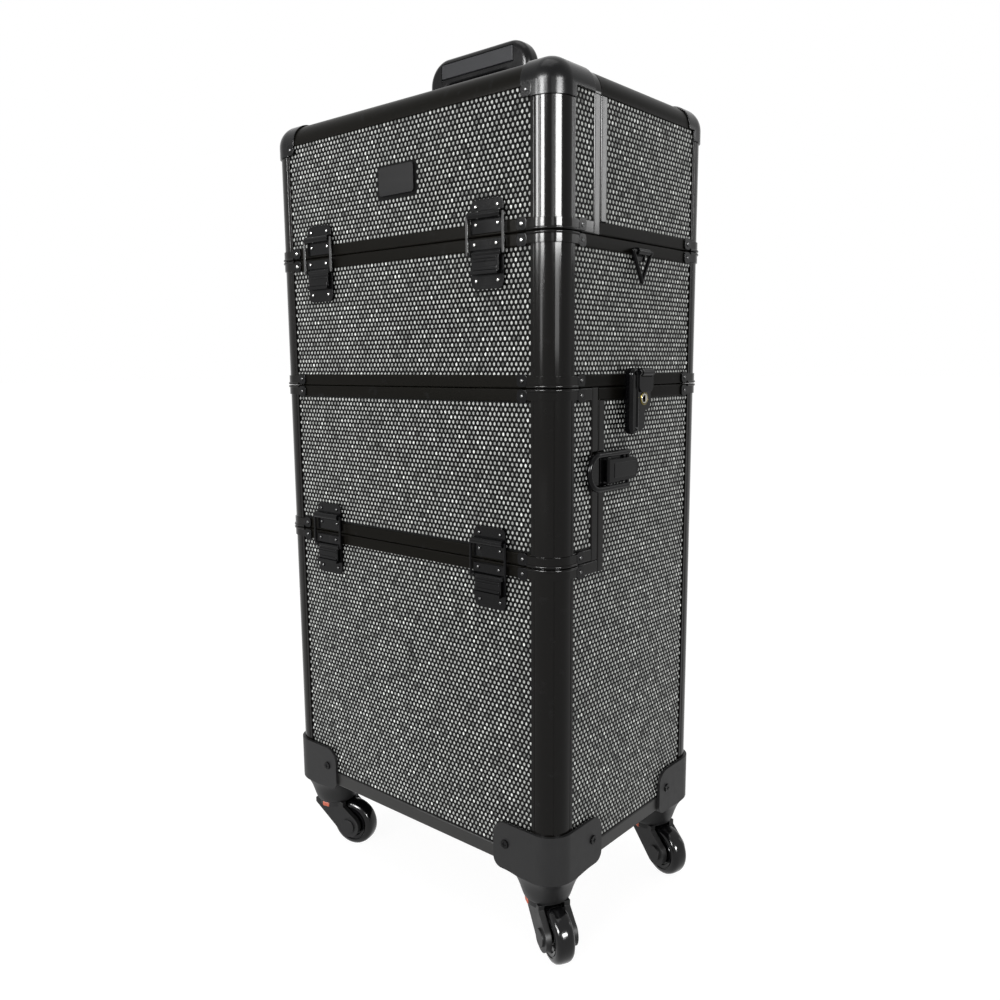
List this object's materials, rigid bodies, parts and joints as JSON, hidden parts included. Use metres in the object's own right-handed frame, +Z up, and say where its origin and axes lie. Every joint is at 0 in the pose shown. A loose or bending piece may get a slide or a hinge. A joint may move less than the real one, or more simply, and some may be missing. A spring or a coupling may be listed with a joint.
{
  "type": "rolling makeup case",
  "caption": "Tall wheeled makeup trunk: a lidded top case that lifts off a deep base with a pull-off front, framed in black, with latches, casters and a pull handle.",
  "frame": {"origin": "on the floor, under the middle of the object's bounding box", "axes": "+Z up, +Y from the front with the latches to the back with the pull handle, +X to the right as seen from the front"},
  "size_m": [0.3957, 0.2704, 0.835],
  "materials": {
    "panel": "studded film",
    "frame": "black anodised",
    "black_metal": "gloss black",
    "wire": "dark chrome",
    "moulding": "moulded",
    "lining": "black lining",
    "wheel": "polyurethane",
    "steel": "brushed",
    "brass": "polished",
    "grip_pad": "ribbed",
    "plate": "bare plate"
  },
  "bodies": {
    "base": {"base_floor": "lining", "base_panels": "panel", "base_posts": "frame", "base_rails": "frame", "base_bands": "frame", "corner_housings": "moulding", "housing_screws": "black_metal", "lower_latch_plates": "black_metal", "side_latch_plates": "black_metal", "key_locks": "black_metal", "trolley_guides": "steel", "trolley_brackets": "moulding"},
    "cover": {"cover_panels": "panel", "cover_frame": "frame", "cover_strikes": "black_metal"},
    "tub": {"tub_panels": "panel", "tub_floor": "lining", "tub_frame": "frame", "tub_hardware": "black_metal", "back_hinges": "steel"},
    "lid": {"lid_panels": "panel", "lid_frame": "frame", "lid_corner_caps": "moulding", "carry_handle": "moulding", "handle_pad": "grip_pad"},
    "flap": {"flap_panels": "panel", "flap_frame": "frame", "flap_corner_caps": "moulding", "flap_strikes": "black_metal", "name_plate": "plate"},
    "pull_middle": {"trolley_mid_tubes": "steel"},
    "pull_grip": {"trolley_inner_tubes": "steel", "trolley_grip": "moulding"},
    "pull_button": {"trolley_button": "steel"},
    "fork_front_right": {"fork_front_right": "moulding"},
    "wheel_front_right": {"wheel_front_right": "wheel"},
    "fork_front_left": {"fork_front_left": "moulding"},
    "wheel_front_left": {"wheel_front_left": "wheel"},
    "fork_rear_right": {"fork_rear_right": "moulding"},
    "wheel_rear_right": {"wheel_rear_right": "wheel"},
    "fork_rear_left": {"fork_rear_left": "moulding"},
    "wheel_rear_left": {"wheel_rear_left": "wheel"},
    "key_cylinder_right": {"key_cylinder_right": "brass"},
    "side_lever_right": {"side_lever_right": "black_metal"},
    "side_loop_right": {"side_loop_right": "black_metal"},
    "lower_lever_right": {"lower_lever_right": "black_metal"},
    "upper_lever_right": {"upper_lever_right": "black_metal"},
    "lower_bail_right": {"lower_bail_right": "wire"},
    "upper_bail_right": {"upper_bail_right": "wire"},
    "strap_ring_right": {"strap_ring_right": "wire"},
    "hasp_right": {"hasp_right": "black_metal"},
    "key_cylinder_left": {"key_cylinder_left": "brass"},
    "side_lever_left": {"side_lever_left": "black_metal"},
    "side_loop_left": {"side_loop_left": "black_metal"},
    "lower_lever_left": {"lower_lever_left": "black_metal"},
    "upper_lever_left": {"upper_lever_left": "black_metal"},
    "lower_bail_left": {"lower_bail_left": "wire"},
    "upper_bail_left": {"upper_bail_left": "wire"},
    "strap_ring_left": {"strap_ring_left": "wire"},
    "hasp_left": {"hasp_left": "black_metal"}
  },
  "joints": [
    {"name": "swivel_front_right", "type": "hinge", "parent": "base", "child": "fork_front_right", "pos_m": [0.15, -0.0998, 0.06], "axis": [0, 0, 1], "continuous": true},
    {"name": "roll_front_right", "type": "hinge", "parent": "fork_front_right", "child": "wheel_front_right", "pos_m": [0.17078, -0.1118, 0.025], "axis": [0.5, 0.866, 0], "continuous": true},
    {"name": "swivel_front_left", "type": "hinge", "parent": "base", "child": "fork_front_left", "pos_m": [-0.15, -0.0998, 0.06], "axis": [0, 0, 1], "continuous": true},
    {"name": "roll_front_left", "type": "hinge", "parent": "fork_front_left", "child": "wheel_front_left", "pos_m": [-0.12693, -0.09319, 0.025], "axis": [-0.2756, 0.9613, 0], "continuous": true},
    {"name": "swivel_rear_right", "type": "hinge", "parent": "base", "child": "fork_rear_right", "pos_m": [0.15, 0.0842, 0.06], "axis": [0, 0, 1], "continuous": true},
    {"name": "roll_rear_right", "type": "hinge", "parent": "fork_rear_right", "child": "wheel_rear_right", "pos_m": [0.17283, 0.07678, 0.025], "axis": [0.309, 0.9511, 0], "continuous": true},
    {"name": "swivel_rear_left", "type": "hinge", "parent": "base", "child": "fork_rear_left", "pos_m": [-0.15, 0.0842, 0.06], "axis": [0, 0, 1], "continuous": true},
    {"name": "roll_rear_left", "type": "hinge", "parent": "fork_rear_left", "child": "wheel_rear_left", "pos_m": [-0.17209, 0.07482, 0.025], "axis": [0.3907, -0.9205, 0], "continuous": true},
    {"name": "cover_pull_off", "type": "slide", "parent": "base", "child": "cover", "axis": [0, -1, 0], "range_m": [0, 0.12]},
    {"name": "top_case_lift", "type": "slide", "parent": "base", "child": "tub", "axis": [0, 0, 1], "range_m": [0, 0.12]},
    {"name": "lid_open", "type": "hinge", "parent": "tub", "child": "lid", "pos_m": [0, 0.1151, 0.6385], "axis": [-1, 0, 0], "range_deg": [0, 95]},
    {"name": "flap_open", "type": "hinge", "parent": "lid", "child": "flap", "pos_m": [0, -0.0668, 0.7737], "axis": [-1, 0, 0], "range_deg": [0, 100]},
    {"name": "pull_stage_lower", "type": "slide", "parent": "base", "child": "pull_middle", "axis": [0, 0, -1], "range_m": [-0.25, 0]},
    {"name": "pull_stage_upper", "type": "slide", "parent": "pull_middle", "child": "pull_grip", "axis": [0, 0, -1], "range_m": [-0.25, 0]},
    {"name": "pull_button_press", "type": "slide", "parent": "pull_grip", "child": "pull_button", "axis": [0, 0, -1], "range_m": [0, 0.003], "stiffness_N_per_m": 400},
    {"name": "key_turn_right", "type": "hinge", "parent": "base", "child": "key_cylinder_right", "pos_m": [0.18, -0.0108, 0.5023], "axis": [1, 0, 0], "range_deg": [0, 90]},
    {"name": "side_lever_swing_right", "type": "hinge", "parent": "base", "child": "side_lever_right", "pos_m": [0.1844, -0.0581, 0.441], "axis": [0, 0, -1], "range_deg": [0, 95]},
    {"name": "side_loop_swing_right", "type": "hinge", "parent": "side_lever_right", "child": "side_loop_right", "pos_m": [0.1844, -0.0271, 0.441], "axis": [0, 0, -1], "range_deg": [-95, 0]},
    {"name": "lower_lever_swing_right", "type": "hinge", "parent": "base", "child": "lower_lever_right", "pos_m": [0.1095, -0.1314, 0.3495], "axis": [-1, 0, 0], "range_deg": [0, 80]},
    {"name": "upper_lever_swing_right", "type": "hinge", "parent": "tub", "child": "upper_lever_right", "pos_m": [0.1095, -0.1314, 0.6245], "axis": [-1, 0, 0], "range_deg": [0, 80]},
    {"name": "lower_bail_swing_right", "type": "hinge", "parent": "cover", "child": "lower_bail_right", "pos_m": [0.1095, -0.132, 0.3805], "axis": [-1, 0, 0], "range_deg": [0, 150]},
    {"name": "upper_bail_swing_right", "type": "hinge", "parent": "flap", "child": "upper_bail_right", "pos_m": [0.1095, -0.132, 0.6555], "axis": [-1, 0, 0], "range_deg": [0, 150]},
    {"name": "strap_ring_swing_right", "type": "hinge", "parent": "tub", "child": "strap_ring_right", "pos_m": [0.1846, -0.0078, 0.63], "axis": [0, -1, 0], "range_deg": [0, 150]},
    {"name": "hasp_swing_right", "type": "hinge", "parent": "tub", "child": "hasp_right", "pos_m": [0.1919, -0.0108, 0.5255], "axis": [0, -1, 0], "range_deg": [0, 150]},
    {"name": "key_turn_left", "type": "hinge", "parent": "base", "child": "key_cylinder_left", "pos_m": [-0.18, -0.0108, 0.5023], "axis": [-1, 0, 0], "range_deg": [0, 90]},
    {"name": "side_lever_swing_left", "type": "hinge", "parent": "base", "child": "side_lever_left", "pos_m": [-0.1844, -0.0581, 0.441], "axis": [0, 0, 1], "range_deg": [0, 95]},
    {"name": "side_loop_swing_left", "type": "hinge", "parent": "side_lever_left", "child": "side_loop_left", "pos_m": [-0.1844, -0.0271, 0.441], "axis": [0, 0, 1], "range_deg": [-95, 0]},
    {"name": "lower_lever_swing_left", "type": "hinge", "parent": "base", "child": "lower_lever_left", "pos_m": [-0.1095, -0.1314, 0.3495], "axis": [-1, 0, 0], "range_deg": [0, 80]},
    {"name": "upper_lever_swing_left", "type": "hinge", "parent": "tub", "child": "upper_lever_left", "pos_m": [-0.1095, -0.1314, 0.6245], "axis": [-1, 0, 0], "range_deg": [0, 80]},
    {"name": "lower_bail_swing_left", "type": "hinge", "parent": "cover", "child": "lower_bail_left", "pos_m": [-0.1095, -0.132, 0.3805], "axis": [-1, 0, 0], "range_deg": [0, 150]},
    {"name": "upper_bail_swing_left", "type": "hinge", "parent": "flap", "child": "upper_bail_left", "pos_m": [-0.1095, -0.132, 0.6555], "axis": [-1, 0, 0], "range_deg": [0, 150]},
    {"name": "strap_ring_swing_left", "type": "hinge", "parent": "tub", "child": "strap_ring_left", "pos_m": [-0.1846, -0.0078, 0.63], "axis": [0, 1, 0], "range_deg": [0, 150]},
    {"name": "hasp_swing_left", "type": "hinge", "parent": "tub", "child": "hasp_left", "pos_m": [-0.1919, -0.0108, 0.5255], "axis": [0, 1, 0], "range_deg": [0, 150]}
  ],
  "couplings": [
    {"joint": "side_loop_swing_right", "follows": "side_lever_swing_right", "ratio": -1},
    {"joint": "side_loop_swing_left", "follows": "side_lever_swing_left", "ratio": -1}
  ]
}
